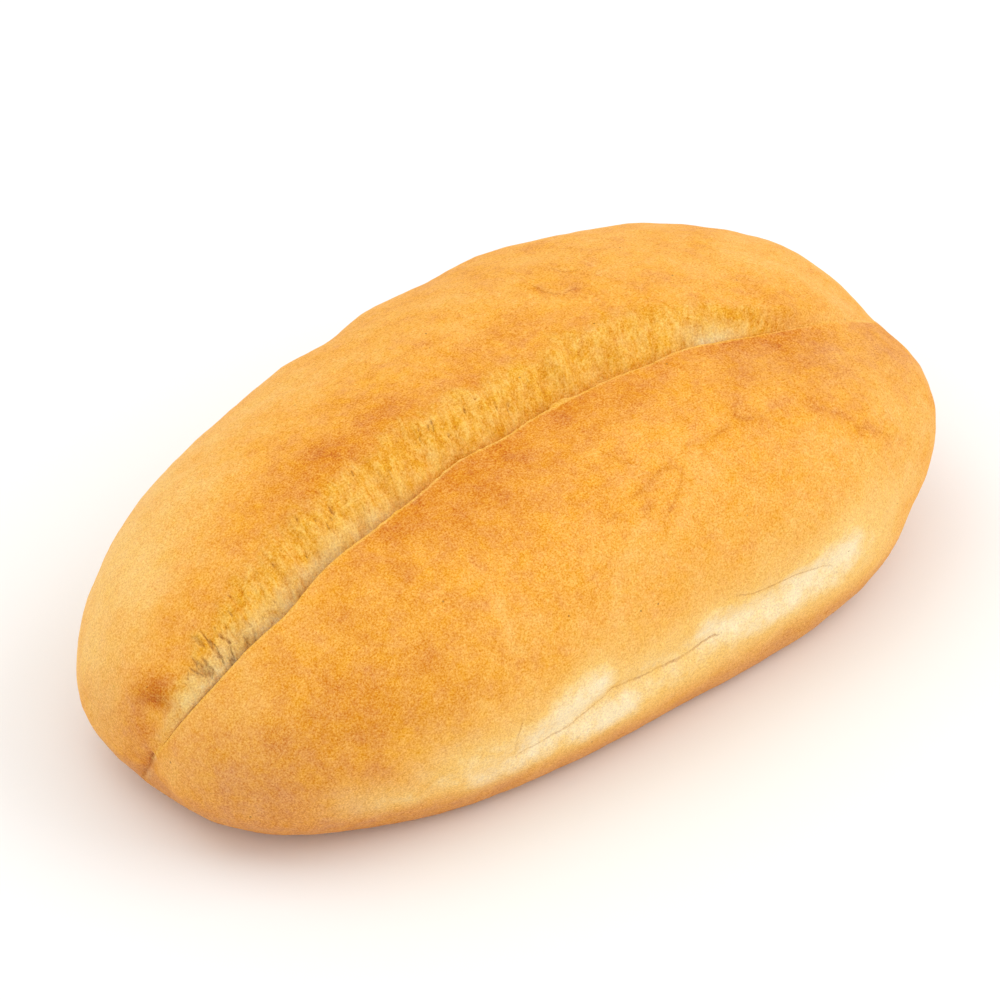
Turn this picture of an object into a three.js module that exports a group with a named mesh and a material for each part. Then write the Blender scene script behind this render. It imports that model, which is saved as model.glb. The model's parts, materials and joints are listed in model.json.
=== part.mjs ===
import * as THREE from 'three';

// An oblong wheat roll with one lengthways score that has torn open along its top.
// Millimetres, +Z up. The long axis runs along X, the flat bottom rests on z = 0 and
// the middle of the bounding box stands over the origin.

// Overall form: a blunt oval in plan, domed above its girth and flattened underneath.
const loafLength = 140;
const loafWidth = 80;
const loafHeight = 45;
const girthHeight = 17.6;
const planPower = 2.53;
const sidePower = 2.17;
const sectionPower = 2.25;
const bellyRatio = 1.75;
const baseRounding = 3;
const rightPlumpness = 0.104;
const planShear = 0.08;
const leftEnd = { sideShift: -2.15, drop: 5.6, power: 4 };

// The score: its place across the dome as a share of the half width, from end to end.
const score = { middle: -0.203, drift: -0.004, bow: -0.271, hook: -0.039 };
const scoreTurn = { share: -0.05, from: 0.45, to: 0.8 };
const lipWander = { size: 0.3, pitch: 23 };
const nearLobe = { sink: 2.8, reach: 13, leftRun: 0.2, rightFrom: 0.55, rightTo: 0.97 };

// The opening under the lip, and the torn slope that climbs from it to the far shoulder.
const grooveDepth = 3;
const lipNose = { out: 0.35, drop: 0.7 };
const lipUndercut = 0.5;
const opening = { leftRun: 0.25, rightFrom: 0.15, rightTo: 0.8, least: 0.08 };
const tear = { width: 9.6, leftRun: 0.32, rightFrom: 0.25, rightTo: 0.85, least: 0.8, largestShare: 0.45 };
const tearScallop = { share: 0.06, pitch: 11 };

// Past the tear at the right the step between the lobes turns into a soft, wider rise.
const softRise = { width: 3.2, from: 0.45, to: 0.8 };

// The torn slope is hollow towards its foot and lumpy along its strands.
const slopePower = 1.7;
const strand = { height: 0.3, pitch: 8, slant: 1 };

// The cleft where the score runs out over each end, in depth at the left and at the right.
const cleft = { left: 1.2, right: 0.4, width: 5, start: 0.93 };

// Soft fullness and hollows of the two lobes: place on the dome, height and reach.
const bulges = [
  { name: 'right end of the near lobe', at: [60, -22, 30], rise: 0.2, reach: 11 },
  { name: 'right flank of the near lobe', at: [58, -31, 16], rise: -0.9, reach: 17 },
  { name: 'right cheek of the near lobe', at: [59, -30, 19.5], rise: 0.8, reach: 8 },
  { name: 'right tip of the far lobe', at: [63, -10, 29], rise: -1.8, reach: 9 },
  { name: 'brow of that tip', at: [64, -4, 29], rise: 0.35, reach: 5 },
  { name: 'right crown of the far lobe', at: [60, 8, 32], rise: 0.9, reach: 10 },
  { name: 'swell of the far flank', at: [27, 33, 34], rise: 0.4, reach: 8 },
  { name: 'dip beside that swell', at: [13, 34, 34], rise: -0.5, reach: 6 },
  { name: 'crest of the far flank', at: [3, 34, 34], rise: 0.7, reach: 8 },
  { name: 'dip beside that crest', at: [-4, 34, 33.5], rise: -0.6, reach: 5 },
  { name: 'left flank of the far lobe', at: [-30, 32, 32], rise: -0.7, reach: 24 },
  { name: 'left end of the far lobe', at: [-64, 18, 20], rise: 0.4, reach: 14 },
  { name: 'fold over the left end', at: [-67, -1, 24], rise: 0.9, reach: 3.2 },
  { name: 'hollow under that fold', at: [-68, -2.3, 20.3], rise: -0.4, reach: 2.2 },
  { name: 'knob under that hollow', at: [-68.5, -0.5, 15], rise: 0.7, reach: 4 },
  { name: 'left toe', at: [-70, 4, 10.5], rise: -1.3, reach: 8 },
  { name: 'near foot', at: [0, -38, 7], rise: -1, reach: 26 },
  { name: 'left end of the near foot', at: [-45, -32.5, 9], rise: -0.45, reach: 9 },
  { name: 'dip in the near foot', at: [21.5, -39, 7], rise: -0.5, reach: 6 },
  { name: 'right end of the near foot', at: [43, -35.5, 6.5], rise: 0.8, reach: 9 },
];

// The fold along the near flank, where the crust was soft against a neighbour.
const fold = { depth: 0.9, halfWidth: 2.4, height: 17.3, sag: 0.003, top: 15, from: -30, to: 30, fade: 9 };

// Slight unevenness of the whole crust, as waves in evenly spread directions.
const swell = { count: 9, longest: 56, shortest: 18, height: 0.1 };

// Rows go around the roll and stations go along it. The angles part the rows of each half.
const stationCount = 98;
const rowCount = { base: 5, foot: 4, flank: 7, crown: 8, lip: 2, wall: 2, slope: 7 };
const baseAngle = -Math.PI / 2;
const footAngle = -0.62;
const flankAngle = -0.15;
const crownAngle = 0.6;

// Rows crowd a little towards the lip.
const lipCrowding = 1.3;

const goldenAngle = Math.PI * (3 - Math.sqrt(5));
const angleStep = 1e-4;
const secondWave = { share: 0.6, pitchRatio: 1.618, phase: 2 };
const runPower = 2;

function mix(a, b, f) {
  return a + (b - a) * f;
}

// Rises steeply from 0 and levels off at 1.
function easeOut(f, power) {
  return 1 - (1 - THREE.MathUtils.clamp(f, 0, 1)) ** power;
}

// Opens from 0 at the left end to 1 over a run, and shuts again between two places at the right.
function alongScore(u, { leftRun, rightFrom, rightTo }) {
  const shut = THREE.MathUtils.smoothstep(u, rightFrom, rightTo);
  return easeOut((1 + u) / leftRun, runPower) * (1 - shut);
}

// An irregular wave of about unit height: two sines whose pitches never fall into step.
function unevenWave(x, pitch) {
  const turn = 2 * Math.PI * x / pitch;
  return Math.sin(turn) + secondWave.share * Math.sin(secondWave.pitchRatio * turn + secondWave.phase);
}

function halfWidthAt(u) {
  return loafWidth / 2 * (1 - Math.abs(u) ** planPower) ** (1 / planPower) * (1 + rightPlumpness * u);
}

// A point of the undisturbed dome. t goes from 0 at the left end to pi at the right end;
// phi goes from 0 at the near girth over the top to pi at the far girth.
function domePoint(t, phi) {
  const u = -Math.cos(t);
  const roundness = Math.abs(Math.cos(phi)) ** sectionPower + Math.abs(Math.sin(phi)) ** sectionPower;
  const spread = roundness ** (-1 / sectionPower);
  const leftness = ((1 - u) / 2) ** leftEnd.power;
  const girth = girthHeight - leftEnd.drop * leftness;
  const rise = Math.sin(phi) > 0 ? loafHeight - girth : bellyRatio * girth;
  const side = -halfWidthAt(u) * Math.cos(phi) * spread;
  const tallness = (1 - Math.abs(u) ** planPower) ** (1 / sidePower);
  return new THREE.Vector3(
    loafLength / 2 * u - planShear * side,
    side + leftEnd.sideShift * leftness,
    girth + rise * tallness * Math.sin(phi) * spread,
  );
}

// The dome point with its outward normal and its direction across, from near to far.
function domeFrame(t, phi) {
  const along = domePoint(t + angleStep, phi).sub(domePoint(t - angleStep, phi));
  const across = domePoint(t, phi + angleStep).sub(domePoint(t, phi - angleStep)).normalize();
  return { point: domePoint(t, phi), normal: along.cross(across).normalize(), across };
}

// The angle over the top at which a section has the given share of its half width.
function angleAtShare(share) {
  const rise = (1 - Math.abs(share) ** sectionPower) ** (1 / sectionPower);
  return Math.atan2(rise, -share);
}

function swellAt(point) {
  let sum = 0;
  for (let i = 0; i < swell.count; i += 1) {
    const lift = 1 - 2 * (i + 0.5) / swell.count;
    const flat = Math.sqrt(1 - lift * lift);
    const turn = i * goldenAngle;
    const direction = new THREE.Vector3(flat * Math.cos(turn), flat * Math.sin(turn), lift);
    const pitch = swell.longest * (swell.shortest / swell.longest) ** (i / (swell.count - 1));
    sum += Math.sin(2 * Math.PI * direction.dot(point) / pitch + 2 * turn);
  }
  return swell.height * sum;
}

function bulgeAt(point) {
  return bulges.reduce((sum, bulge) => {
    const distance = point.distanceTo(new THREE.Vector3(...bulge.at));
    return sum + bulge.rise * Math.exp(-((distance / bulge.reach) ** 2));
  }, 0);
}

function foldAt(point) {
  if (point.y > 0) {
    return 0;
  }
  const line = fold.height - fold.sag * Math.max(0, fold.top - point.x) ** 2;
  const run = THREE.MathUtils.smoothstep(point.x, fold.from - fold.fade, fold.from + fold.fade)
    * (1 - THREE.MathUtils.smoothstep(point.x, fold.to - fold.fade, fold.to + fold.fade));
  return -fold.depth * run * Math.exp(-(((point.z - line) / fold.halfWidth) ** 2));
}

function cleftAt(t, point) {
  const u = -Math.cos(t);
  const run = THREE.MathUtils.smoothstep(Math.abs(u), cleft.start, 1);
  const middle = u < 0 ? leftEnd.sideShift : 0;
  const depth = u < 0 ? cleft.left : cleft.right;
  return -depth * run * Math.exp(-(((point.y - middle) / cleft.width) ** 2));
}

function reliefAt(t, point) {
  return swellAt(point) + bulgeAt(point) + foldAt(point) + cleftAt(t, point);
}

// Flattens the belly smoothly into the resting face.
function settle(point) {
  if (point.z < baseRounding) {
    point.z = Math.max(0, point.z + baseRounding) ** 2 / (4 * baseRounding);
  }
  return point;
}

// A dome point moved out by a height and across by a distance, with the crust's relief.
function place(t, frame, height, across = 0) {
  const lifted = frame.point.clone().addScaledVector(frame.normal, height + reliefAt(t, frame.point));
  return settle(lifted.addScaledVector(frame.across, across));
}

// Everything about the score at one station along the roll.
function stationAt(t) {
  const u = -Math.cos(t);
  const half = halfWidthAt(u);
  const x = loafLength / 2 * u;
  const openness = Math.max(opening.least, alongScore(u, opening));
  const curve = score.middle + score.drift * u + score.bow * u ** 2 + score.hook * u ** 3;
  const turn = scoreTurn.share * THREE.MathUtils.smoothstep(u, scoreTurn.from, scoreTurn.to);
  const share = curve + turn + lipWander.size * openness * unevenWave(x, lipWander.pitch) / half;
  const scalloped = 1 + tearScallop.share * unevenWave(x, tearScallop.pitch);
  const softness = THREE.MathUtils.smoothstep(u, softRise.from, softRise.to);
  const narrowest = mix(tear.least, softRise.width, softness);
  const tearAcross = Math.max(narrowest, tear.width * alongScore(u, tear) * scalloped);
  const lipAngle = angleAtShare(share);
  return {
    t,
    openness,
    lipAngle,
    lip: domeFrame(t, lipAngle),
    lipHeight: -nearLobe.sink * alongScore(u, nearLobe),
    shoulderAngle: angleAtShare(share + Math.min(tearAcross / half, tear.largestShare)),
  };
}

function nearCrust(station, phi) {
  const frame = domeFrame(station.t, phi);
  const distance = frame.point.distanceTo(station.lip.point);
  return place(station.t, frame, station.lipHeight * Math.exp(-((distance / nearLobe.reach) ** 2)));
}

function farCrust(station, phi) {
  return place(station.t, domeFrame(station.t, phi), 0);
}

// The rounded nose of the lip.
function lipEdge(station, f) {
  const size = Math.min(1, 2 * station.openness);
  const across = lipNose.out * size * Math.sin(f * Math.PI / 2);
  const down = lipNose.drop * size * (1 - Math.cos(f * Math.PI / 2));
  return place(station.t, station.lip, station.lipHeight - down, across);
}

// The hidden wall under the lip, cut back towards the near lobe.
function grooveWall(station, f) {
  const size = Math.min(1, 2 * station.openness);
  const across = size * (lipNose.out - lipUndercut * Math.sin(f * Math.PI / 2));
  const down = mix(lipNose.drop * size, grooveDepth * station.openness, f);
  return place(station.t, station.lip, station.lipHeight - down, across);
}

function tornSlope(station, f) {
  const frame = domeFrame(station.t, mix(station.lipAngle, station.shoulderAngle, f));
  const bottom = station.lipHeight - grooveDepth * station.openness;
  const lump = unevenWave(frame.point.x + strand.slant * f, strand.pitch);
  const strands = strand.height * station.openness * 4 * f * (1 - f) * lump;
  return place(station.t, frame, bottom * (1 - f) ** slopePower + strands);
}

// The rows in order around the roll: near half, lip, groove, torn slope and far half.
function makeRows() {
  const rows = [];
  const addRun = (count, row) => {
    for (let i = 0; i < count; i += 1) {
      rows.push((s) => row(s, i / count));
    }
  };
  addRun(rowCount.base, (s, f) => nearCrust(s, mix(baseAngle, footAngle, f)));
  addRun(rowCount.foot, (s, f) => nearCrust(s, mix(footAngle, flankAngle, f)));
  addRun(rowCount.flank, (s, f) => nearCrust(s, mix(flankAngle, crownAngle, f)));
  addRun(rowCount.crown, (s, f) => nearCrust(s, mix(crownAngle, s.lipAngle, easeOut(f, lipCrowding))));
  addRun(rowCount.lip, lipEdge);
  addRun(rowCount.wall, grooveWall);
  addRun(rowCount.slope, tornSlope);
  addRun(rowCount.crown, (s, f) => farCrust(s, mix(s.shoulderAngle, Math.PI - crownAngle, f)));
  addRun(rowCount.foot, (s, f) => farCrust(s, Math.PI - mix(crownAngle, flankAngle, f)));
  addRun(rowCount.foot, (s, f) => farCrust(s, Math.PI - mix(flankAngle, footAngle, f)));
  addRun(rowCount.base, (s, f) => farCrust(s, Math.PI - mix(footAngle, baseAngle, f)));
  return rows;
}

// The two end points, at the bottom of the clefts.
function endPoint(t) {
  const point = domePoint(t, 0);
  const outward = -Math.sign(Math.cos(t));
  point.x += outward * reliefAt(t, point);
  return point;
}

function rollGeometry() {
  const rows = makeRows();
  const points = [];
  for (let i = 1; i < stationCount; i += 1) {
    const station = stationAt(Math.PI * i / stationCount);
    rows.forEach((row) => points.push(row(station)));
  }
  const left = points.push(endPoint(0)) - 1;
  const right = points.push(endPoint(Math.PI)) - 1;
  const faces = [];
  const lastRing = (stationCount - 2) * rows.length;
  for (let j = 0; j < rows.length; j += 1) {
    const next = (j + 1) % rows.length;
    faces.push(left, j, next);
    faces.push(right, lastRing + next, lastRing + j);
    for (let i = 0; i < lastRing; i += rows.length) {
      faces.push(i + j, i + rows.length + j, i + rows.length + next);
      faces.push(i + j, i + rows.length + next, i + next);
    }
  }
  const geometry = new THREE.BufferGeometry().setFromPoints(points);
  geometry.setIndex(faces);
  geometry.computeBoundingBox();
  const middle = geometry.boundingBox.getCenter(new THREE.Vector3());
  geometry.translate(-middle.x, -middle.y, 0);
  geometry.computeVertexNormals();
  return geometry;
}

const crust = new THREE.MeshStandardMaterial({ color: '#e8a552', roughness: 0.75, metalness: 0 });
crust.name = 'baked_crust';

const roll = new THREE.Mesh(rollGeometry(), crust);
roll.name = 'bread_roll';

const group = new THREE.Group();
group.name = 'oblong_bread_roll';
group.add(roll);

export default group;
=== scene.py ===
import json
import math

import bpy
import numpy as np
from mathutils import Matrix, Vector

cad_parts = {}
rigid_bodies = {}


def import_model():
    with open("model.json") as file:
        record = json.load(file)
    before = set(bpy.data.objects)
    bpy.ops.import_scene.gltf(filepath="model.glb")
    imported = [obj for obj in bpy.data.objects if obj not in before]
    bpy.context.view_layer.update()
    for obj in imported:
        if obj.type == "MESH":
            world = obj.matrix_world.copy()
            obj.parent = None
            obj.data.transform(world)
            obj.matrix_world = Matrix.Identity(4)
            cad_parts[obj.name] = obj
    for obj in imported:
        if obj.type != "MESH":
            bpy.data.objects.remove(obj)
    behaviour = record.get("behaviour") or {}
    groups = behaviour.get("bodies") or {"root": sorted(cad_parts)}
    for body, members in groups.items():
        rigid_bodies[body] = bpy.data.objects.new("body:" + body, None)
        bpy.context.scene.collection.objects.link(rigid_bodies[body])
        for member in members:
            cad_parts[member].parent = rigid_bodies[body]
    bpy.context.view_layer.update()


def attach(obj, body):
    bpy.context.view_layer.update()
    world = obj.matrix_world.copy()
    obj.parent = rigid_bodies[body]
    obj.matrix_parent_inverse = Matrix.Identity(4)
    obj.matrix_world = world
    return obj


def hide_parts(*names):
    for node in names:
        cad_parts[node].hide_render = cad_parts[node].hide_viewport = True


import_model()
mm = 0.001
noiseMiddle = 0.5  # the level that every noise swings about


def hexToLinear(code):
    parts = [int(code[i:i + 2], 16) / 255 for i in (1, 3, 5)]
    return [c / 12.92 if c <= 0.04045 else ((c + 0.055) / 1.055) ** 2.4 for c in parts] + [1.0]


# adds one node with its settings (properties or input values) and its links, and gives back one output
def addNode(tree, kind, settings=(), links=(), out=0):
    node = tree.nodes.new(kind)
    for key, value in dict(settings).items():
        if isinstance(key, str) and hasattr(node, key):
            setattr(node, key, value)
        else:
            node.inputs[key].default_value = value
    for key, source in dict(links).items():
        tree.links.new(source, node.inputs[key])
    return node.outputs[out] if len(node.outputs) else None


# the whole roll before its score: a blunt oval dome with a flat bottom, sizes in mm
dome = {
    "length": 140, "width": 80, "height": 45, "girthHeight": 17.6,
    "planPower": 2.53, "sidePower": 2.17, "sectionPower": 2.25,
    "bellyRatio": 1.75, "baseRounding": 3,
    "rightPlumpness": 0.104, "planShear": 0.08,
    "leftShift": -2.15, "leftDrop": 5.6, "leftPower": 4,
    # soft fullness and hollows: place, height and reach
    "bulges": [
        ((60, -22, 30), 0.2, 11), ((58, -31, 16), -0.9, 17), ((59, -30, 19.5), 0.8, 8),  # near lobe, right
        ((63, -10, 29), -1.8, 9), ((64, -4, 29), 0.35, 5), ((60, 8, 32), 0.9, 10),  # far lobe, right
        ((27, 33, 34), 0.4, 8), ((13, 34, 34), -0.5, 6), ((3, 34, 34), 0.7, 8), ((-4, 34, 33.5), -0.6, 5),
        ((-30, 32, 32), -0.7, 24), ((-64, 18, 20), 0.4, 14), ((-70, 4, 10.5), -1.3, 8),  # left end
        ((-67, -1, 24), 0.9, 3.2), ((-68, -2.3, 20.3), -0.4, 2.2), ((-68.5, -0.5, 15), 0.7, 4),  # its fold
        ((0, -38, 7), -1, 26), ((-45, -32.5, 9), -0.45, 9),  # near foot
        ((21.5, -39, 7), -0.5, 6), ((43, -35.5, 6.5), 0.8, 9),
    ],
    "swellCount": 9, "swellLongest": 56, "swellShortest": 18, "swellHeight": 0.1,
    # the soft dip of the fold on the near flank
    "foldDepth": 0.9, "foldWidth": 2.4, "foldHeight": 17.3, "foldSag": 0.003, "foldTop": 15,
    "foldFrom": -30, "foldTo": 30, "foldFade": 9,
    "cleftLeft": 1.2, "cleftRight": 0.4, "cleftWidth": 5, "cleftStart": 0.93,
}

# the score and what tore open under it, sizes in mm, places along in half lengths; a set of three is the run
# in which it opens from the left end, then where it starts and ends to shut at the right
score = {
    "middle": -0.203, "drift": -0.004, "bow": -0.271, "hook": -0.039, "turn": -0.05, "turnRun": (0.45, 0.8),
    "wander": 0.3, "wanderPitch": 23, "sink": 2.8, "sinkReach": 13, "sinkRuns": (0.2, 0.55, 0.97),
    "grooveDepth": 3, "noseOut": 0.35, "noseDrop": 0.7, "undercut": 0.5,
    "openRuns": (0.25, 0.15, 0.8), "openLeast": 0.02,
    "tearWidth": 9.6, "tearRuns": (0.32, 0.25, 0.85), "tearLeast": 0.8, "tearMost": 0.45,
    "softWidth": 3.2, "softRun": (0.45, 0.8),  # past the tear at the right the step is soft and wide
    "scallop": 0.06, "scallopPitch": 11, "slopePower": 1.7,
    "strandHeight": 0.3, "strandPitch": 8, "strandSlant": 1,
    # the edge of the lip is nibbled except at the left, and one flake hangs over it
    "nibble": 0.1, "nibblePitch": 2.7, "nibbleRun": (-0.6, -0.2),
    "flakeAt": 4.5, "flakeLength": 2, "flakeOut": 0.9,
    "lipFull": 0.5,  # how open the score is where the lip has its full size
    "lipInside": 3, "wallInside": 6,  # how far inside the tear the lip and the wall count
}

goldenAngle = math.pi * (3 - math.sqrt(5))
runPower = 2  # how soon a run comes to its full size
secondWave = {"share": 0.6, "ratio": 1.618, "phase": 2}


def mix(a, b, f):
    return a + (b - a) * f


def easeOut(f, power):
    return 1 - (1 - np.clip(f, 0, 1)) ** power


def smoothStep(low, high, value):
    f = np.clip((value - low) / (high - low), 0, 1)
    return f * f * (3 - 2 * f)


def softSpot(points, middle, reach):
    return np.exp(-np.sum((points - np.array(middle)) ** 2, axis=1) / reach ** 2)


# opens from the left end and shuts towards the right
def alongScore(u, runs):
    leftRun, rightFrom, rightTo = runs
    return easeOut((1 + u) / leftRun, runPower) * (1 - smoothStep(rightFrom, rightTo, u))


# two sines whose pitches never fall into step
def unevenWave(x, pitch):
    turn = 2 * math.pi * x / pitch
    return np.sin(turn) + secondWave["share"] * np.sin(secondWave["ratio"] * turn + secondWave["phase"])


def halfWidthAt(u):
    fill = 1 - np.abs(u) ** dome["planPower"]
    return dome["width"] / 2 * fill ** (1 / dome["planPower"]) * (1 + dome["rightPlumpness"] * u)


# t runs from 0 at the left end to pi at the right end, phi from the near girth over the top
def domePoint(t, phi):
    u = -np.cos(t)
    power = dome["sectionPower"]
    spread = (np.abs(np.cos(phi)) ** power + np.abs(np.sin(phi)) ** power) ** (-1 / power)
    leftness = ((1 - u) / 2) ** dome["leftPower"]
    girth = dome["girthHeight"] - dome["leftDrop"] * leftness
    rise = np.where(np.sin(phi) > 0, dome["height"] - girth, dome["bellyRatio"] * girth)
    side = -halfWidthAt(u) * np.cos(phi) * spread
    tallness = (1 - np.abs(u) ** dome["planPower"]) ** (1 / dome["sidePower"])
    x = dome["length"] / 2 * u - dome["planShear"] * side
    y = side + dome["leftShift"] * leftness
    z = girth + rise * tallness * np.sin(phi) * spread
    return np.stack([x, y, z], axis=1)


# the dome point, its outward normal and its direction across from near to far
def domeFrame(t, phi):
    step = 1e-4
    along = domePoint(t + step, phi) - domePoint(t - step, phi)
    across = domePoint(t, phi + step) - domePoint(t, phi - step)
    across /= np.linalg.norm(across, axis=1, keepdims=True)
    normal = np.cross(along, across)
    normal /= np.linalg.norm(normal, axis=1, keepdims=True)
    return domePoint(t, phi), normal, across


def angleAtShare(share):
    power = dome["sectionPower"]
    return np.arctan2((1 - np.abs(share) ** power) ** (1 / power), -share)


def foldDip(points):
    x, y, z = points.T
    fade = dome["foldFade"]
    line = dome["foldHeight"] - dome["foldSag"] * np.maximum(0, dome["foldTop"] - x) ** 2
    run = smoothStep(dome["foldFrom"] - fade, dome["foldFrom"] + fade, x)
    run *= 1 - smoothStep(dome["foldTo"] - fade, dome["foldTo"] + fade, x)
    return dome["foldDepth"] * run * np.exp(-((z - line) / dome["foldWidth"]) ** 2) * (y < 0)


# everything that lifts or sinks the crust on the scale of centimetres
def reliefAt(t, points):
    total = -foldDip(points)
    shorter = dome["swellShortest"] / dome["swellLongest"]
    for i in range(dome["swellCount"]):  # low swells, their directions spread evenly over a sphere
        lift = 1 - 2 * (i + 0.5) / dome["swellCount"]
        flat, turn = math.sqrt(1 - lift * lift), i * goldenAngle
        direction = np.array([flat * math.cos(turn), flat * math.sin(turn), lift])
        pitch = dome["swellLongest"] * shorter ** (i / (dome["swellCount"] - 1))
        total += dome["swellHeight"] * np.sin(2 * math.pi * points @ direction / pitch + 2 * turn)
    for middle, rise, reach in dome["bulges"]:
        total += rise * softSpot(points, middle, reach)
    u = -np.cos(t)
    middle = np.where(u < 0, dome["leftShift"], 0)
    depth = np.where(u < 0, dome["cleftLeft"], dome["cleftRight"])
    cleft = np.exp(-((points[:, 1] - middle) / dome["cleftWidth"]) ** 2)
    return total - depth * smoothStep(dome["cleftStart"], 1, np.abs(u)) * cleft


# a dome point moved out and across, with the belly flattened into the resting face
def place(t, spot, height, across=0):
    points, normal, sideways = spot
    lift = (height + reliefAt(t, points))[:, None]
    moved = points + normal * lift + sideways * np.broadcast_to(across, len(t))[:, None]
    z, soft = moved[:, 2], dome["baseRounding"]
    moved[:, 2] = np.where(z < soft, np.maximum(0, z + soft) ** 2 / (4 * soft), z)
    return moved


# all that the score has at the stations t along the roll
def scoreAt(t):
    s, u = score, -np.cos(t)
    half, x = halfWidthAt(u), dome["length"] / 2 * u
    openness = np.maximum(s["openLeast"], alongScore(u, s["openRuns"]))
    curve = s["middle"] + s["drift"] * u + s["bow"] * u ** 2 + s["hook"] * u ** 3
    curve += s["turn"] * smoothStep(*s["turnRun"], u)
    share = curve + s["wander"] * openness * unevenWave(x, s["wanderPitch"]) / half
    narrowest = mix(s["tearLeast"], s["softWidth"], smoothStep(*s["softRun"], u))
    scalloped = 1 + s["scallop"] * unevenWave(x, s["scallopPitch"])
    tear = np.maximum(narrowest, s["tearWidth"] * alongScore(u, s["tearRuns"]) * scalloped)
    tear = np.minimum(tear, s["tearMost"] * half)
    lipAngle = angleAtShare(share)
    nibble = s["nibble"] * unevenWave(x, s["nibblePitch"]) * smoothStep(*s["nibbleRun"], u)
    flake = s["flakeOut"] * np.exp(-((x - s["flakeAt"]) / s["flakeLength"]) ** 2)
    return {
        "t": t, "u": u, "open": openness, "lipAngle": lipAngle, "lip": domeFrame(t, lipAngle),
        "lipSize": np.minimum(1, openness / s["lipFull"]),
        "lipHeight": -s["sink"] * alongScore(u, s["sinkRuns"]), "tearWidth": tear,
        "noseOut": s["noseOut"] + nibble + flake, "shoulderAngle": angleAtShare(share + tear / half),
    }


# thin lines in the skin, in mm: width and depth of the dip, how dark the painted shade in its bottom is,
# and how far the skin by it has browned, or paled where that is below 0
lineKinds = {
    "crease": {"width": 0.22, "depth": 0.4, "paintedShade": 0.6, "brown": 0},
    "fineCrease": {"width": 0.18, "depth": 0.2, "paintedShade": 0.4, "brown": 0},
    "wrinkle": {"width": 0.3, "depth": 0.15, "paintedShade": 0.25, "brown": 0.45},
    "fineWrinkle": {"width": 0.25, "depth": 0.1, "paintedShade": 0.15, "brown": 0.25},
    "scuff": {"width": 0.4, "depth": 0.08, "paintedShade": 0, "brown": -0.4},
    "crack": {"width": 0.25, "depth": 0.15, "paintedShade": 0.4, "brown": 0.3},
    "endCrack": {"width": 0.3, "depth": 0.6, "paintedShade": 0.9, "brown": 0.9},
    "endFold": {"width": 0.5, "depth": 0.3, "paintedShade": 0.15, "brown": 0.3},
}
lines = [
    # the near flank
    ("crease", [(-12, -38, 15.8), (-5, -38.6, 15.3), (1, -38.8, 15.3), (7, -39, 15.8)]),
    ("fineCrease", [(-28, -36, 11.6), (-24, -36.6, 11.9), (-20, -37, 12.6), (-14.5, -38, 14.6),
                    (-12, -38, 15.8)]),
    ("fineCrease", [(11, -39.4, 21.4), (14, -39.6, 20.3), (22, -40, 19.3), (29, -40, 17.2)]),
    ("fineCrease", [(-28.5, -37.2, 18.3), (-29.3, -36.8, 15.5), (-29, -36.5, 13.3)]),
    # the top of the near lobe
    ("wrinkle", [(9.5, -26, 39.2), (4.7, -27.1, 38.7), (-4.3, -28.6, 37.6)]),
    ("wrinkle", [(10.6, -27.4, 38.5), (7.9, -30, 37), (3.8, -31.8, 35.7)]),
    ("wrinkle", [(13.4, -25, 39.6), (15.7, -26.2, 38.9), (23, -25.2, 38.8), (27.1, -26.2, 38.1)]),
    ("fineWrinkle", [(25.7, -22.7, 39.4), (23.7, -24.4, 39.1)]),
    ("fineWrinkle", [(3.5, -23.3, 40.3), (2.3, -19.9, 41.1)]),
    ("fineWrinkle", [(7.7, -33.5, 34.1), (8.8, -36, 31.1)]),
    ("fineWrinkle", [(-8, -32.6, 34), (-12, -32.8, 33.3)]),
    ("fineWrinkle", [(2, -30, 37), (-3.4, -31.2, 35.8)]),
    ("scuff", [(-26.2, -29.1, 35.4), (-27, -31.1, 33.4), (-26.6, -32.3, 32.1), (-27.6, -33.5, 30.3),
               (-26.1, -34.4, 29.1)]),
    ("scuff", [(-3.3, -31.8, 35.4), (-1.3, -31, 36.2), (1.6, -31.6, 35.9)]),
    ("scuff", [(-5.3, -32.9, 34), (-3, -32.9, 34.3)]),
    ("scuff", [(-28.9, -24.7, 37.8), (-27.1, -24.8, 38)]),
    ("scuff", [(-34.5, -34.9, 24.4), (-32.6, -36, 22.1)]),
    # towards the right end
    ("fineWrinkle", [(41, -32.2, 32.3), (45, -33, 29.6), (50.6, -33.2, 24.8)]),
    ("fineWrinkle", [(35.6, -27.8, 36.4), (39.4, -30, 34.4)]),
    # the far lobe
    ("crack", [(18.2, 13.2, 43.5), (18.2, 10.7, 43.8), (19.5, 8.9, 44), (21.7, 8.5, 43.9)]),
    ("crack", [(23.9, 14.9, 42.7), (24.2, 13.5, 42.9), (25.8, 12.4, 43)]),
    # the left end: a crack where the score runs out, and the fold over it
    ("endCrack", [(-68.5, -3, 13.3), (-68.3, -1.4, 9.7), (-67.6, 0.8, 6)]),
    ("endFold", [(-68.6, 1, 20.1), (-67.9, -1.2, 22.1), (-67.2, -3.3, 23.3), (-67, -5.2, 23.2)]),
]
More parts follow.
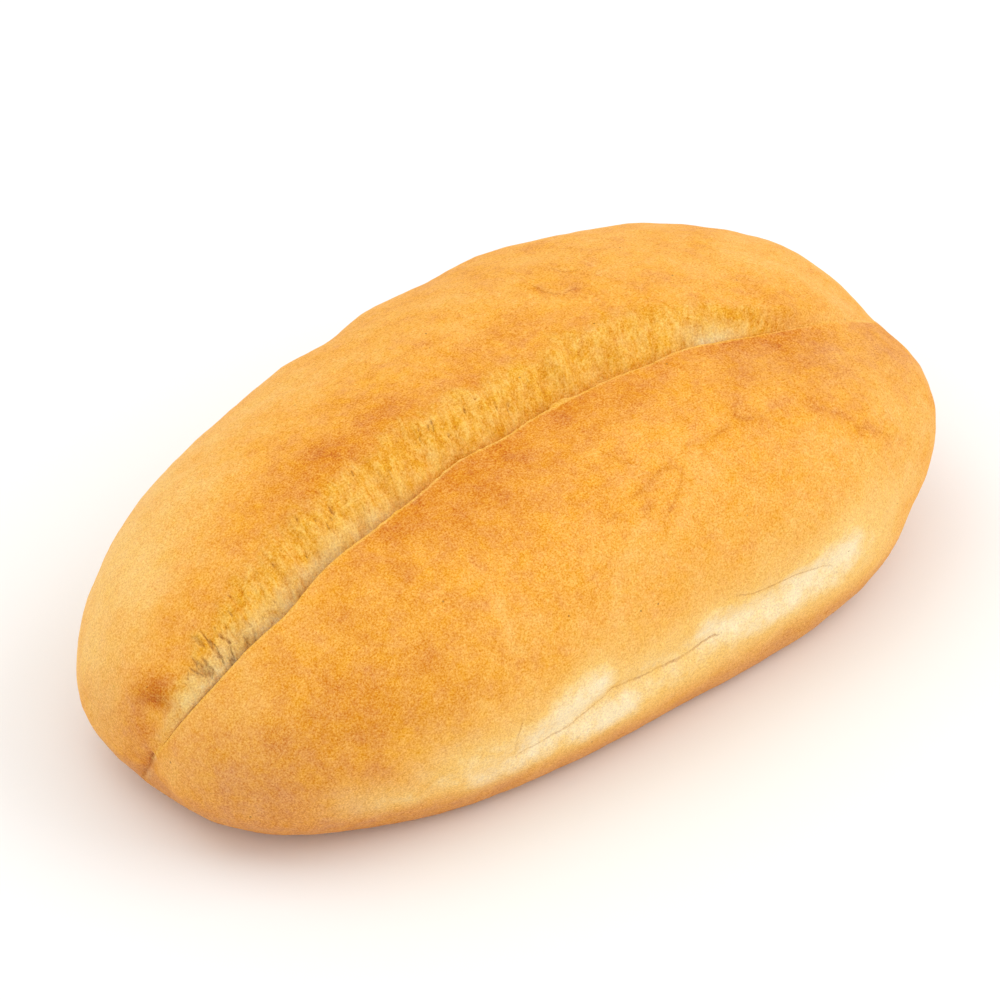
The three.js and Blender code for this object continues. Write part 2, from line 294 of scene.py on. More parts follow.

# how the oven coloured the roll, with some painted shade and light among it: sizes in mm, fades between
# two places along the half length; a spot is a place, a reach and a share, darker above 0 and lighter below
bake = {
    "lipBand": 10, "lipBrown": 0.6, "lipFade": (-0.75, -0.35),
    "shoulderBand": 8, "shoulderAway": 3, "shoulderBrown": 0.5,
    "shoulderStart": (-1, -0.8), "shoulderFade": (-0.1, 0.5), "shoulderRight": 0.35,
    "spots": [
        # the fold at the left end and the knob under it, browned, with a lighter spot between them that is
        # partly painted highlight on the knob's top
        ((-67.9, 0, 22.8), 3.5, 0.5), ((-67.1, -2.6, 24), 3.2, 0.8), ((-66.6, -4.8, 23.8), 3, 0.6),
        ((-68, -2.3, 20.6), 2, -0.7), ((-68.4, -1, 16.5), 4, 0.8), ((-68.3, 0, 10), 5.5, 0.5),
        # the rest of the crust; the lighter spots on the far flank towards the left and on the near flank
        # are partly paler crust and partly painted light
        ((-68.6, -6.5, 13.5), 4, -0.5), ((-61, -12, 26), 9, -0.35),
        ((-54, -25, 14), 24, 0.5), ((-17, -20, 40), 14, 0.3), ((33, -28, 36.5), 14, 0.3),
        ((16.4, -34.1, 33.4), 4, 0.4), ((-62, 2, 31), 8, 0.35), ((-31, 7, 43), 11, 0.3),
        ((-63, 12, 28), 18, -1.0), ((-40, 32, 25), 24, -0.7), ((56, -4, 36), 12, -0.3),
        ((14, -38, 28), 18, -0.25), ((43, -38, 21), 16, -0.5), ((-20, -36, 27), 16, -0.25),
    ],
    # skin near the tray dried to a duller brown, highest up at the left end, and by the lip at the right;
    # where the skin turns down this duller colour is also painted shade; the turn is of the upward normal
    "rimTurn": (-0.2, -0.5), "rimDullAndShade": 0.8,
    "dullSpots": [
        ((-64, -19, 12), 13, 0.7), ((-57, -25, 8), 10, 0.5), ((-69, 3, 15), 8, 0.4),
        ((-67, -12, 17), 7, 0.3), ((36, -16, 39), 7, 0.3), ((47, -20, 36), 8, 0.4), ((56, -21, 32), 8, 0.4),
    ],
    # the band that stayed soft and light above the foot, and the pale strokes in it
    "bandHeight": 15, "bandTilt": 0.04, "bandWidth": 7, "bandFrom": -44, "bandTo": 42, "bandFade": 9,
    "bandLight": 0.4, "bandPale": 0.65, "farBand": 0.6,
    "paleStrokes": [
        ([(-20, -37.8, 16.3), (-16, -38.2, 18)], 4.7, 1.4),
        ([(-25, -36.5, 12.8), (-20, -37.4, 15)], 5, 1.3),
        ([(-18, -37.6, 11.4), (-10, -38.6, 12)], 4, 1.25),
        ([(-34, -34.7, 9.5), (-28, -36, 10)], 4.5, 0.9),
        ([(6, -39.2, 17), (18, -39.8, 15)], 4.8, 1.1),
        ([(22, -40, 15.8), (32, -40, 18)], 5.2, 1.25),
        ([(-53, -28, 11.5), (-45, -31.3, 10)], 4, 0.6),
    ],
    # crumb near the lip stays cream, most at the left, and once more towards the right
    "creamRise": (1, 6), "creamFade": (-0.7, -0.1), "creamStart": (-0.92, -0.72), "creamLeast": 0.8,
    "creamPatch": 0.46, "creamPatchReach": 0.09, "creamPatchShare": 0.85,
    # pits stand along the upper edge of the tear and where the score runs out at the left
    "pitDepth": 3.5, "pitBand": 2.5, "pitFade": (0, 0.25),
    "pitLeft": -0.86, "pitLeftReach": 0.16, "pitLeftShare": 1.4,
    # strands lean to the right as they climb, more so at the right
    "strandLean": 0.35, "strandTurn": 0.007,
    "tornFade": (0.6, 0.85), "roomyTear": 8, "looseRise": (0.4, 3.0),
    "lineBrownReach": 0.9, "creaseReach": 1.0,
    # where the skin wrinkled as the roll sank after baking
    "wrinkleSpots": [
        ((5, -29, 38), 14), ((45, -30, 30), 16), ((25, 8, 44), 18), ((50, 8, 38), 14), ((0, 34, 34), 20),
    ],
}
lineLean = 0.9  # how far a line is followed along the surface instead of straight through it


# the nearest distance to a line, measured along the surface, and the side of the line
def lineGap(points, normals, path):
    gap = np.full(len(points), np.inf)
    side = np.ones(len(points))
    for a, b in zip(np.array(path[:-1]), np.array(path[1:])):
        f = np.clip((points - a) @ (b - a) / np.dot(b - a, b - a), 0, 1)
        away = points - a - f[:, None] * (b - a)
        away -= lineLean * normals * np.sum(normals * away, axis=1, keepdims=True)
        here = np.linalg.norm(away, axis=1)
        side = np.where(here < gap, np.sign(np.sum(np.cross(normals, b - a) * away, axis=1)), side)
        gap = np.minimum(gap, here)
    return gap, side


# a row of points with what the finish needs to know about their place, in mm from the edges of the tear
def asRow(s, points, normals, side, edgeGap, acrossAt):
    count = len(points)
    return {
        "points": points, "normals": normals, "u": s["u"], "open": s["open"], "tearWidth": s["tearWidth"],
        "side": np.full(count, side), "edgeGap": np.broadcast_to(edgeGap, count),
        "acrossAt": np.broadcast_to(acrossAt, count),
    }


def nearRow(s, phi):
    spot = domeFrame(s["t"], phi)
    gap = np.linalg.norm(spot[0] - s["lip"][0], axis=1)
    points = place(s["t"], spot, s["lipHeight"] * np.exp(-(gap / score["sinkReach"]) ** 2))
    return asRow(s, points, spot[1], -1, -score["lipInside"] - gap, -gap)


def lipRow(s, f):
    across = s["noseOut"] * s["lipSize"] * math.sin(f * math.pi / 2)
    down = score["noseDrop"] * s["lipSize"] * (1 - math.cos(f * math.pi / 2))
    points = place(s["t"], s["lip"], s["lipHeight"] - down, across)
    return asRow(s, points, s["lip"][1], -1, mix(-score["lipInside"], score["lipInside"], f), 0)


def wallRow(s, f):
    inward = mix(s["noseOut"], score["noseOut"] - score["undercut"], math.sin(f * math.pi / 2))
    down = mix(score["noseDrop"] * s["lipSize"], score["grooveDepth"] * s["open"], f)
    points = place(s["t"], s["lip"], s["lipHeight"] - down, s["lipSize"] * inward)
    return asRow(s, points, s["lip"][1], 0, mix(score["lipInside"], score["wallInside"], f), 0)


def slopeRow(s, f):
    spot = domeFrame(s["t"], mix(s["lipAngle"], s["shoulderAngle"], f))
    bottom = s["lipHeight"] - score["grooveDepth"] * s["open"]
    lump = unevenWave(spot[0][:, 0] + score["strandSlant"] * f, score["strandPitch"])
    hump = 4 * f * (1 - f)  # 1 halfway up the slope
    strands = score["strandHeight"] * s["open"] * hump * lump
    points = place(s["t"], spot, bottom * (1 - f) ** score["slopePower"] + strands)
    return asRow(s, points, spot[1], 1, s["tearWidth"] * (1 - f), s["tearWidth"] * f)


def farRow(s, phi):
    spot = domeFrame(s["t"], phi)
    gap = np.linalg.norm(spot[0] - domePoint(s["t"], s["shoulderAngle"]), axis=1)
    points = place(s["t"], spot, np.zeros(len(s["t"])))
    return asRow(s, points, spot[1], 1, -gap, s["tearWidth"] + gap)


# rows go round the roll, with twice the stations of the plain crust next to the tear and four times in it;
# angles and turns in radians, the thinnest dip that the rows can hold in mm
grid = {
    "stations": 300, "finestLine": 0.9, "crowding": 1.3,
    "footAngle": -0.62, "bandAngle": -0.27, "flankAngle": 0.14, "crownAngle": 0.6, "farFlankAngle": -0.15,
    "baseRows": 5, "footRows": 9, "bandRows": 26, "flankRows": 14, "crownRows": 22,
    "edgeRows": 2, "edgeTurn": 0.03, "lipRows": 4, "wallRows": 4, "slopeRows": 36,
    "shoulderRows": 3, "shoulderTurn": 0.03, "shoulderEdgeTurn": 0.07,
    "farCrownRows": 24, "farFlankRows": 10, "farFootRows": 6,
}


def rollRows():
    g = grid
    plain, double, fourfold = [
        scoreAt(math.pi * np.arange(k, k * g["stations"] - k + 1) / (k * g["stations"])) for k in (1, 2, 4)]
    base, foot, crown = -math.pi / 2, g["footAngle"], g["crownAngle"]
    rows = []

    def addRun(stations, count, row):
        rows.extend(row(stations, i / count) for i in range(count))

    def level(s, low, high, f):
        return np.full(len(s["t"]), mix(low, high, f))

    for count, low, high in ((g["baseRows"], base, foot), (g["footRows"], foot, g["bandAngle"]),
                             (g["bandRows"], g["bandAngle"], g["flankAngle"]),
                             (g["flankRows"], g["flankAngle"], crown)):
        addRun(plain, count, lambda s, f: nearRow(s, level(s, low, high, f)))
    addRun(plain, g["crownRows"],
           lambda s, f: nearRow(s, mix(crown, s["lipAngle"] - g["edgeTurn"], easeOut(f, g["crowding"]))))
    addRun(double, g["edgeRows"], lambda s, f: nearRow(s, s["lipAngle"] - g["edgeTurn"] * (1 - f)))
    addRun(fourfold, g["lipRows"], lipRow)
    addRun(fourfold, g["wallRows"], wallRow)
    addRun(fourfold, g["slopeRows"], slopeRow)
    addRun(fourfold, g["shoulderRows"], lambda s, f: farRow(s, s["shoulderAngle"] + g["shoulderTurn"] * f))
    addRun(double, g["edgeRows"],
           lambda s, f: farRow(s, s["shoulderAngle"] + mix(g["shoulderTurn"], g["shoulderEdgeTurn"], f)))
    addRun(plain, g["farCrownRows"],
           lambda s, f: farRow(s, mix(s["shoulderAngle"] + g["shoulderEdgeTurn"], math.pi - crown, f)))
    for count, low, high in ((g["farFlankRows"], crown, g["farFlankAngle"]),
                             (g["farFootRows"], g["farFlankAngle"], foot), (g["baseRows"], foot, base)):
        addRun(plain, count, lambda s, f: farRow(s, level(s, math.pi - low, math.pi - high, f)))
    for t, outward in ((np.array([0.0]), -1), (np.array([math.pi]), 1)):
        tip = domePoint(t, np.array([0.0]))
        tip[:, 0] += outward * reliefAt(t, tip)
        end = {"u": -np.cos(t), "open": np.zeros(1), "tearWidth": np.zeros(1)}
        rows.append(asRow(end, tip, np.array([[outward, 0.0, 0.0]]), 0, -score["lipInside"], 0))
    return rows


# quads between rows of the same length, three triangles a step where the number of stations doubles
def joinRows(first, second, start, following):
    a = start + np.arange(first)
    b = following + np.arange(second)
    if first == second:
        return np.stack([a[:-1], a[1:], b[1:], b[:-1]], axis=1).tolist()
    if second > first:
        left, middle, right = b[0:-2:2], b[1:-1:2], b[2::2]
        parts = [(a[:-1], middle, left), (a[:-1], a[1:], middle), (a[1:], right, middle)]
    else:
        left, middle, right = a[0:-2:2], a[1:-1:2], a[2::2]
        parts = [(b[:-1], left, middle), (b[:-1], middle, b[1:]), (b[1:], middle, right)]
    return np.concatenate([np.stack(p, axis=1) for p in parts]).tolist()


# masks for the finish, one number a point
def bakeMasks(points, where):
    b, u, side = bake, where["u"], where["side"]
    x, z = points[:, 0], points[:, 2]
    near, far = side < 0, side > 0

    # browned by the lip, along the shoulder and in spots; dull by the tray, and painted shade where the skin
    # turns down
    lipGap = np.maximum(0, -where["acrossAt"])
    browned = b["lipBrown"] * np.exp(-(lipGap / b["lipBand"]) ** 2) * smoothStep(*b["lipFade"], u) * near
    run = mix(1, b["shoulderRight"], smoothStep(*b["shoulderFade"], u)) * smoothStep(*b["shoulderStart"], u)
    shoulder = np.exp(-((where["edgeGap"] + b["shoulderAway"]) / b["shoulderBand"]) ** 2)
    browned = np.maximum(browned, b["shoulderBrown"] * shoulder * run * far)
    for middle, reach, share in b["spots"]:
        browned = browned + share * softSpot(points, middle, reach)
    dullAndShade = b["rimDullAndShade"] * smoothStep(*b["rimTurn"], where["normals"][:, 2])
    for middle, reach, share in b["dullSpots"]:
        dullAndShade = np.maximum(dullAndShade, share * softSpot(points, middle, reach))

    # the soft band above the foot
    run = smoothStep(b["bandFrom"] - b["bandFade"], b["bandFrom"] + b["bandFade"], x)
    run *= 1 - smoothStep(b["bandTo"] - b["bandFade"], b["bandTo"] + b["bandFade"], x)
    band = run * np.exp(-((z - b["bandHeight"] - b["bandTilt"] * x) / b["bandWidth"]) ** 2)
    band *= np.where(near, 1, b["farBand"])
    browned = browned - b["bandLight"] * band
    pale = b["bandPale"] * band
    for path, reach, share in b["paleStrokes"]:
        gap = lineGap(points, where["normals"], path)[0]
        pale = np.maximum(pale, share * np.exp(-(gap / reach) ** 2))

    # cream and pits in the tear, wrinkles in the crust
    patch = b["creamPatchShare"] * np.exp(-((u - b["creamPatch"]) / b["creamPatchReach"]) ** 2)
    byLip = 1 - smoothStep(*b["creamRise"], where["acrossAt"])
    cream = byLip * np.maximum(1 - smoothStep(*b["creamFade"], u), patch) * (side >= 0)
    cream *= mix(b["creamLeast"], 1, smoothStep(*b["creamStart"], u))
    pitting = np.exp(-((where["edgeGap"] - b["pitDepth"]) / b["pitBand"]) ** 2)
    pitting *= 1 - smoothStep(*b["pitFade"], u)
    pitsLeft = b["pitLeftShare"] * np.exp(-((u - b["pitLeft"]) / b["pitLeftReach"]) ** 2)
    wrinkled = np.zeros(len(points))
    for middle, reach in b["wrinkleSpots"]:
        wrinkled = np.maximum(wrinkled, softSpot(points, middle, reach))

    # the nearest line to each point, its side, and how much painted shade and highlight it carries there
    creaseSide = np.zeros(len(points))
    creaseShadingHere = np.zeros(len(points))
    nearest = np.full(len(points), np.inf)
    for kind, path in lines:
        line = lineKinds[kind]
        gap, above = lineGap(points, where["normals"], path)
        browned = browned + line["brown"] * np.exp(-(gap / b["lineBrownReach"]) ** 2)
        closest = gap < nearest
        nearest = np.where(closest, gap, nearest)
        creaseSide = np.where(closest, above * gap / line["width"], creaseSide)
        creaseShadingHere = np.where(closest, line["paintedShade"] * np.exp(-(gap / b["creaseReach"]) ** 2), creaseShadingHere)
    return {
        "browned": browned, "dullAndShade": dullAndShade, "pale": pale * (1 - dullAndShade), "cream": cream,
        "pitting": np.maximum(pitting, pitsLeft), "wrinkled": wrinkled,
        "creaseSide": creaseSide, "creaseShadingHere": creaseShadingHere,
        "open": where["open"] * (1 - smoothStep(*b["tornFade"], u)),
        "edgeRoom": np.maximum(u < 0, np.minimum(1, where["tearWidth"] / b["roomyTear"])),
        "edgeGap": where["edgeGap"] * mm, "acrossAt": where["acrossAt"] * mm,
        "strandAt": (x - (b["strandLean"] + b["strandTurn"] * x) * where["acrossAt"]) * mm,
        "loose": smoothStep(*b["looseRise"], z),
    }


def rollMesh():
    rows = rollRows()
    where = {name: np.concatenate([row[name] for row in rows]) for name in rows[0]}
    points = where["points"]
    low, high = points.min(axis=0), points.max(axis=0)
    points[:, :2] -= (low + high)[:2] / 2
    masks = bakeMasks(points, where)
    for kind, path in lines:
        line = lineKinds[kind]
        gap = lineGap(points, where["normals"], path)[0]
        dip = line["depth"] * np.exp(-(gap / max(line["width"], grid["finestLine"])) ** 2)
        points -= where["normals"] * dip[:, None]
    counts = [len(row["points"]) for row in rows[:-2]]
    starts = np.concatenate([[0], np.cumsum(counts)]).tolist()
    left, right = len(points) - 2, len(points) - 1
    faces = []
    for j, count in enumerate(counts):
        k = (j + 1) % len(counts)
        faces += joinRows(count, counts[k], starts[j], starts[k])
        faces.append([left, starts[j], starts[k]])
        faces.append([right, starts[k] + counts[k] - 1, starts[j] + count - 1])
    mesh = bpy.data.meshes.new("breadRollBody")
    mesh.from_pydata((points * mm).tolist(), [], faces)
    mesh.shade_smooth()
    for name, values in masks.items():
        layer = mesh.attributes.new(name, "FLOAT", "POINT")
        layer.data.foreach_set("value", values.astype(np.float32))
    layer = mesh.attributes.new("outward", "FLOAT_VECTOR", "POINT")
    layer.data.foreach_set("vector", where["normals"].astype(np.float32).ravel())
    print("roll body:", len(points), "points,", len(faces), "faces")
    return mesh


# wheat crust baked without steam: matt, fine-grained and mottled from gold to brown, with dry fibrous crumb
# where it tore and a pale soft band where it stayed covered; sizes in mm, the real grain is finer
crust = {
    # some of these colours are painted shade and highlight: in creases, wrinkles and pits, on the torn
    # strands, and where the skin turns down
    "gold": "#eca640", "brown": "#d27e1b", "deep": "#b8670f", "light": "#f2bf6b", "dullAndShade": "#d09058",
    "soft": "#f2c674", "pale": "#f6dfb2", "line": "#ae6a20", "lit": "#fad085", "speck": "#6b3d18",
    "lipEdge": "#f0b853", "tornGold": "#e9a632", "tornCream": "#e6cc8c", "tornPale": "#f2e2c0",
    "tornShade": "#d28a1a", "tornLight": "#f2c76a", "pit": "#8e5f34",
    # size, detail and roughness of each noise
    "noises": {
        "mottle": (24, 3.0, 0.5), "patch": (6, 4.0, 0.6), "fleck": (1.8, 3.0, 0.65),
        "blush": (3.0, 5.0, 0.75), "grain": (0.28, 2.0, 0.75), "wrinkle": (9, 2.0, 0.5),
    },
    "bakedShares": {"mottle": 0.8, "patch": 1.5, "fleck": 1.2}, "paleSwing": 0.9, "lipEdgeWidth": 0.5,
    # pitch and length of the streaks in the torn crumb
    "streaks": {"broad": (2.0, 3.2), "fine": (0.5, 2.0)},
    "streakNoise": {"Scale": 1.0, "Detail": 3.0, "Roughness": 0.65, "Distortion": 1.5},
    # a wrinkle is where its noise crosses a middle value, painted as shade with a painted highlight on its
    # lit side, and shows only where the skin sank enough
    "wrinkles": {"wrinkleShade": 0.5, "wrinkleLit": 0.515}, "wrinkleSunk": (0.25, 0.5), "wrinkleHidden": 0.1,
    # middle and half width of a crease's painted shade and of the painted highlight on its lit edge, in
    # widths of the line, fainter here and there
    "creases": {"creaseShade": (0.0, 1.1), "creaseLit": (2.4, 2.0)}, "creaseCore": 0.3,
    "creaseWobble": 3.0, "creaseFaint": (0.38, 0.55), "creaseLeast": 0.4,
    "speckSpacing": 5.5, "speckSize": 0.11,
    # colours laid over the gold skin, the torn crumb and both: what drives each, between which two values it
    # comes in, and the most it covers
    "skinLayers": [
        ("brown", "baked", 0, 1, 1), ("deep", "baked", 0.8, 1.8, 1), ("light", "baked", 0, -1, 1),
        ("soft", "pale", 0, 0.6, 0.95), ("pale", "pale", 0.5, 1.25, 1), ("dullAndShade", "dullAndShade", 0, 1, 0.8),
        ("lipEdge", "lipRim", 0.1, 0.5, 0.8),
    ],
    # in the crumb, the layers driven by how far a strand stands up are painted shade in the valleys and
    # painted highlight on the tops, and the streaks are partly painted shade and highlight of the fibres
    "crumbLayers": [
        ("tornShade", "fleck", 0.5, 0.3, 0.5), ("tornLight", "fleck", 0.5, 0.7, 0.5),
        ("tornShade", "broad", 0.5, 0.32, 0.6), ("tornLight", "broad", 0.5, 0.68, 0.5),
        ("brown", "torn", 1, 0.4, 0.3),
        ("tornCream", "creamAt", 0.1, 0.5, 0.9), ("tornPale", "creamAt", 0.45, 0.75, 0.8),
        ("tornShade", "fine", 0.5, 0.3, 0.45), ("tornLight", "fine", 0.5, 0.7, 0.35),
        ("tornShade", "strandRise", 0.5, 0.25, 0.4), ("tornLight", "strandRise", 0.5, 0.8, 0.3),
        # the pits' dark colour is painted shade in them
        ("pit", "pit", 0, 1, 0.5),
    ],
    "lineLayers": [
        # a wrinkle is painted shade with a painted highlight on its lit side
        ("brown", "wrinkleShade", 0.014, 0, 0.22), ("lit", "wrinkleLit", 0.02, 0, 0.15),
        # a crease is painted shade with a painted highlight along its lit edge
        ("lit", "creaseLit", 0, 1, 0.5), ("line", "creaseShade", 0, 1, 0.9),
        ("speck", "speckGap", 2, 1, 0.6),
    ],
    # what blush and grain add to the colour at either end of their swing, 0.5 being nothing
    "tints": {
        "blush": (0.3, (0.484, 0.478, 0.474, 1), (0.516, 0.522, 0.526, 1)),
        "grain": (0.2, (0.42, 0.43, 0.474, 1), (0.58, 0.57, 0.526, 1)),
    },
    "roughness": 0.66, "ior": 1.45, "specular": 0.25, "grainBump": 0.08, "creaseBump": 0.15,
}
crustMasks = ["browned", "dullAndShade", "pale", "cream", "creaseSide", "creaseShadingHere", "wrinkled", "torn",
              "strandRise", "strandAt", "pit", "acrossAt"]


def layColours(tree, base, layers, drivers):
    for colour, driver, low, high, share in layers:
        ends = {"From Min": low, "From Max": high, "To Max": share}
        cover = addNode(tree, "ShaderNodeMapRange", ends, {"Value": drivers[driver]})
        base = addNode(tree, "ShaderNodeMix", {"data_type": "RGBA", 7: hexToLinear(crust[colour])},
                       {0: cover, 6: base}, out=2)
    return base


# mottling shifts the browning and the pale band both ways, so that their edges break up
def skinColour(tree, mask, noise):
    c = crust
    level = noiseMiddle * sum(c["bakedShares"].values())
    baked = addNode(tree, "ShaderNodeMath", {"operation": "SUBTRACT", 1: level}, {0: mask["browned"]})
    for name, share in c["bakedShares"].items():
        baked = addNode(tree, "ShaderNodeMath", {"operation": "MULTIPLY_ADD", 1: share},
                        {0: noise[name], 2: baked})
    uneven = addNode(tree, "ShaderNodeMath", {"operation": "ADD"}, {0: noise["patch"], 1: noise["fleck"]})
    uneven = addNode(tree, "ShaderNodeMath",
                     {"operation": "MULTIPLY_ADD", 1: c["paleSwing"], 2: 1 - c["paleSwing"]}, {0: uneven})
    drivers = {"baked": baked}
    for name in ("pale", "dullAndShade"):
        drivers[name] = addNode(tree, "ShaderNodeMath", {"operation": "MULTIPLY"},
                                {0: uneven, 1: mask[name]})
    lipGap = addNode(tree, "ShaderNodeMath", {"operation": "ABSOLUTE"}, {0: mask["acrossAt"]})
    lipRim = addNode(tree, "ShaderNodeMapRange",
                     {"From Max": c["lipEdgeWidth"] * mm, "To Min": 1.0, "To Max": 0.0}, {"Value": lipGap})
    drivers["lipRim"] = addNode(tree, "ShaderNodeMath", {"operation": "MULTIPLY"},
                                {0: lipRim, 1: noise["patch"]})
    skin = addNode(tree, "ShaderNodeRGB")
    skin.default_value = hexToLinear(c["gold"])
    return layColours(tree, skin, c["skinLayers"], drivers)


# torn crumb is gold and streaked along its strands, with painted shade and highlight by how far a strand
# stands up, cream by the lip, browned along its upper edge
def crumbColour(tree, mask, noise):
    c = crust
    drivers = {**mask, **noise}
    tearAt = addNode(tree, "ShaderNodeCombineXYZ", (), {0: mask["strandAt"], 1: mask["acrossAt"]})
    for name, (pitch, length) in c["streaks"].items():
        streakAt = addNode(tree, "ShaderNodeVectorMath",
                           {"operation": "DIVIDE", 1: (pitch * mm, length * mm, 1)}, {0: tearAt})
        drivers[name] = addNode(tree, "ShaderNodeTexNoise", c["streakNoise"], {"Vector": streakAt})
    drivers["creamAt"] = addNode(tree, "ShaderNodeMath", {"operation": "MULTIPLY"},
                                 {0: mask["cream"], 1: noise["patch"]})
    crumb = addNode(tree, "ShaderNodeRGB")
    crumb.default_value = hexToLinear(c["tornGold"])
    return layColours(tree, crumb, c["crumbLayers"], drivers)


# how far a wrinkle's painted shade and the painted highlight on its lit side are, in swing of their noise
def wrinkleGaps(tree, mask, noise):
    c = crust
    sunk = addNode(tree, "ShaderNodeMath", {"operation": "MULTIPLY"},
                   {0: mask["wrinkled"], 1: noise["patch"]})
    sunkFrom, sunkTo = c["wrinkleSunk"]
    calm = addNode(tree, "ShaderNodeMapRange",
                   {"From Min": sunkFrom, "From Max": sunkTo, "To Min": c["wrinkleHidden"], "To Max": 0.0},
                   {"Value": sunk})
    gaps = {}
    for name, middle in c["wrinkles"].items():
        gap = addNode(tree, "ShaderNodeMath", {"operation": "SUBTRACT", 1: middle}, {0: noise["wrinkle"]})
        gap = addNode(tree, "ShaderNodeMath", {"operation": "ABSOLUTE"}, {0: gap})
        gaps[name] = addNode(tree, "ShaderNodeMath", {"operation": "ADD"}, {0: gap, 1: calm})
    return gaps


# how much of a crease's painted shade and of the painted highlight on its lit edge is here,
# both a little wobbly and uneven
def creaseShares(tree, mask, noise):
    c = crust
    faintFrom, faintTo = c["creaseFaint"]
    here = addNode(tree, "ShaderNodeMapRange",
                   {"From Min": faintFrom, "From Max": faintTo, "To Min": c["creaseLeast"]},
                   {"Value": noise["patch"]})
    here = addNode(tree, "ShaderNodeMath", {"operation": "MULTIPLY"}, {0: here, 1: mask["creaseShadingHere"]})
    side = addNode(tree, "ShaderNodeMath", {"operation": "MULTIPLY_ADD", 1: c["creaseWobble"]},
                   {0: noise["fleck"], 2: mask["creaseSide"]})
    shares = {}
    for name, (middle, reach) in c["creases"].items():
        wobbled = middle + c["creaseWobble"] * noiseMiddle
        gap = addNode(tree, "ShaderNodeMath", {"operation": "SUBTRACT", 1: wobbled}, {0: side})
        gap = addNode(tree, "ShaderNodeMath", {"operation": "ABSOLUTE"}, {0: gap})
        core = addNode(tree, "ShaderNodeMapRange", {"From Min": reach, "From Max": c["creaseCore"] * reach},
                       {"Value": gap})
        shares[name] = addNode(tree, "ShaderNodeMath", {"operation": "MULTIPLY"}, {0: core, 1: here})
    return shares


def crustMaterial():
    c = crust
    material = bpy.data.materials.new("bakedWheatCrust")
    material.use_nodes = True
    tree = material.node_tree
    tree.nodes.clear()
    coords = addNode(tree, "ShaderNodeTexCoord", out="Object")
    mask = {name: addNode(tree, "ShaderNodeAttribute", {"attribute_name": name}, out="Fac")
            for name in crustMasks}
    noise = {}
    for name, (size, detail, rough) in c["noises"].items():
        noise[name] = addNode(
            tree, "ShaderNodeTexNoise",
            {"Scale": 1 / (size * mm), "Detail": detail, "Roughness": rough}, {"Vector": coords})
    skin = skinColour(tree, mask, noise)
    crumb = crumbColour(tree, mask, noise)
    body = addNode(tree, "ShaderNodeMix", {"data_type": "RGBA"},
                   {0: mask["torn"], 6: skin, 7: crumb}, out=2)

    crease = creaseShares(tree, mask, noise)
    # the gap to a speck is measured in its own size
    cells = addNode(tree, "ShaderNodeTexVoronoi", {"Scale": 1 / (c["speckSpacing"] * mm)},
                    {"Vector": coords})
    speckGap = addNode(tree, "ShaderNodeMath",
                       {"operation": "MULTIPLY", 1: c["speckSpacing"] / c["speckSize"]}, {0: cells})
    body = layColours(tree, body, c["lineLayers"],
                      {**wrinkleGaps(tree, mask, noise), **crease, "speckGap": speckGap})

    # blush and fine grain in all of it
    for name, (swing, dark, bright) in c["tints"].items():
        ends = {"From Min": noiseMiddle - swing, "From Max": noiseMiddle + swing}
        height = addNode(tree, "ShaderNodeMapRange", ends, {"Value": noise[name]})
        tint = addNode(tree, "ShaderNodeMix", {"data_type": "RGBA", 6: dark, 7: bright}, {0: height}, out=2)
        body = addNode(tree, "ShaderNodeMix",
                       {"data_type": "RGBA", "blend_type": "LINEAR_LIGHT", "clamp_result": True, 0: 1.0},
                       {6: body, 7: tint}, out=2)

    grainBump = addNode(tree, "ShaderNodeBump", {"Distance": c["grainBump"] * mm},
                        {"Height": noise["grain"]})
    creaseBump = addNode(tree, "ShaderNodeBump", {"invert": True, "Distance": c["creaseBump"] * mm},
                         {"Height": crease["creaseShade"], "Normal": grainBump})
    shader = addNode(tree, "ShaderNodeBsdfPrincipled",
                     {"Roughness": c["roughness"], "IOR": c["ior"], "Specular IOR Level": c["specular"]},
                     {"Base Color": body, "Normal": creaseBump})
    addNode(tree, "ShaderNodeOutputMaterial", (), {"Surface": shader})
    print("crust finish:", len(tree.nodes), "nodes")
    return material


# relief that follows the surface, sizes in mm: lumps and dimples in the crust; strands, fibres and pits in
# the tear, whose upper edge is frayed and lies a little under the crust
relief = {
    "Lump Size": 16, "Lump Height": 1.0, "Dimple Size": 4.5, "Dimple Height": 0.6,
    "Strand Pitch": 2.6, "Strand Length": 6, "Strand Height": 1.2,
    "Fibre Pitch": 0.8, "Fibre Length": 2.6, "Fibre Height": 0.65,
    "Pit Pitch": 0.95, "Pit Length": 2.6, "Pit Depth": 0.4,
    "Edge Pitch": 3, "Edge Length": 6, "Edge Wander": 5, "Edge Fray": 4,
    "Edge Softness": 2.4, "Edge Least": 0.8, "Crust Thickness": 0.1,
}
# shares that the relief turns on: how open the score is where the tear and its strands show, and which part
# of the noise is a pit, more of it where pits are common
reliefShares = {"tornOpen": 0.25, "riseOpen": (0.1, 0.7), "pitOften": 0.12, "pitRun": (0.22, 0.34)}
reliefNoise = {
    "crust": {"noise_dimensions": "4D", "Detail": 1.0},
    "torn": {"noise_dimensions": "4D", "Scale": 1.0, "Detail": 2.0, "Roughness": 0.55, "Distortion": 1.0},
}
reliefMasks = ["edgeGap", "acrossAt", "strandAt", "open", "loose", "pitting", "edgeRoom"]
reliefSeed = 7.0


